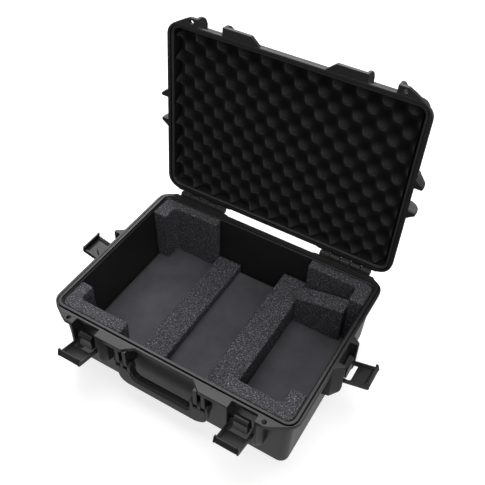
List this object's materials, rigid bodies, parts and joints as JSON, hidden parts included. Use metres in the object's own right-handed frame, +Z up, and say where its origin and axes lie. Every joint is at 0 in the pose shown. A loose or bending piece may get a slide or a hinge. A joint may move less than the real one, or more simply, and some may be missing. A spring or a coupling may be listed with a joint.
{
  "type": "equipment case",
  "caption": "Moulded hard case with a hinged lid, toggle latches, a folding carry handle and fitted foam, shown open.",
  "frame": {"origin": "centre of the flat underside of the base", "axes": "+X to the right along the front, +Y from the front (handle side) to the rear (hinge side), +Z up"},
  "size_m": [0.6216, 0.5102, 0.5397],
  "materials": {
    "shell_plastic": "fine moulded texture, satin black",
    "seal_rubber": "soft matt",
    "pin_steel": "plain drawn rod",
    "egg_foam": "open-cell convoluted foam",
    "plank_foam": "closed-cell plank foam, speckled cut faces",
    "floor_sheet": "smooth closed-cell foam sheet"
  },
  "bodies": {
    "base": {"base_shell": "shell_plastic", "hinge_pin_left": "pin_steel", "hinge_pin_right": "pin_steel", "latch_pin_front_left": "pin_steel", "latch_pin_front_right": "pin_steel", "latch_pin_left": "pin_steel", "latch_pin_right": "pin_steel", "handle_pin_left": "pin_steel", "handle_pin_right": "pin_steel", "floor_foam": "floor_sheet", "corner_foam_rear_left": "plank_foam", "corner_foam_rear_right": "plank_foam", "corner_foam_front_left": "plank_foam", "corner_foam_front_right": "plank_foam", "foam_strip_left": "plank_foam", "foam_strip_right": "plank_foam", "foam_wedge_rear": "plank_foam"},
    "lid": {"lid_shell": "shell_plastic", "lid_gasket": "seal_rubber", "lid_foam": "egg_foam"},
    "handle": {"handle": "shell_plastic"},
    "lever_front_left": {"latch_lever_front_left": "shell_plastic"},
    "lever_front_right": {"latch_lever_front_right": "shell_plastic"},
    "lever_left": {"latch_lever_left": "shell_plastic"},
    "lever_right": {"latch_lever_right": "shell_plastic"},
    "trigger_front_left": {"latch_trigger_front_left": "shell_plastic"},
    "trigger_front_right": {"latch_trigger_front_right": "shell_plastic"},
    "trigger_left": {"latch_trigger_left": "shell_plastic"},
    "trigger_right": {"latch_trigger_right": "shell_plastic"}
  },
  "joints": [
    {"name": "lid_hinge", "type": "hinge", "parent": "base", "child": "lid", "pos_m": [0, 0.1922, 0.15], "axis": [1, 0, 0], "range_deg": [0, 94]},
    {"name": "handle_hinge", "type": "hinge", "parent": "base", "child": "handle", "pos_m": [0, -0.1905, 0.107], "axis": [-1, 0, 0], "range_deg": [0, 95]},
    {"name": "lever_front_left_hinge", "type": "hinge", "parent": "base", "child": "lever_front_left", "pos_m": [-0.16, -0.1875, 0.103], "axis": [-1, 0, 0], "range_deg": [0, 75]},
    {"name": "lever_front_right_hinge", "type": "hinge", "parent": "base", "child": "lever_front_right", "pos_m": [0.16, -0.1875, 0.103], "axis": [-1, 0, 0], "range_deg": [0, 75]},
    {"name": "lever_left_hinge", "type": "hinge", "parent": "base", "child": "lever_left", "pos_m": [-0.2542, 0, 0.103], "axis": [0, 1, 0], "range_deg": [0, 75]},
    {"name": "lever_right_hinge", "type": "hinge", "parent": "base", "child": "lever_right", "pos_m": [0.2542, 0, 0.103], "axis": [0, -1, 0], "range_deg": [0, 75]},
    {"name": "trigger_front_left_hinge", "type": "hinge", "parent": "base", "child": "trigger_front_left", "pos_m": [-0.16, -0.1875, 0.103], "axis": [-1, 0, 0], "range_deg": [0, 30]},
    {"name": "trigger_front_right_hinge", "type": "hinge", "parent": "base", "child": "trigger_front_right", "pos_m": [0.16, -0.1875, 0.103], "axis": [-1, 0, 0], "range_deg": [0, 30]},
    {"name": "trigger_left_hinge", "type": "hinge", "parent": "base", "child": "trigger_left", "pos_m": [-0.2542, 0, 0.103], "axis": [0, 1, 0], "range_deg": [0, 30]},
    {"name": "trigger_right_hinge", "type": "hinge", "parent": "base", "child": "trigger_right", "pos_m": [0.2542, 0, 0.103], "axis": [0, -1, 0], "range_deg": [0, 30]}
  ],
  "couplings": [
    {"joint": "trigger_front_left_hinge", "follows": "lever_front_left_hinge", "ratio": 0.4},
    {"joint": "trigger_front_right_hinge", "follows": "lever_front_right_hinge", "ratio": 0.4},
    {"joint": "trigger_left_hinge", "follows": "lever_left_hinge", "ratio": 0.4},
    {"joint": "trigger_right_hinge", "follows": "lever_right_hinge", "ratio": 0.4}
  ]
}
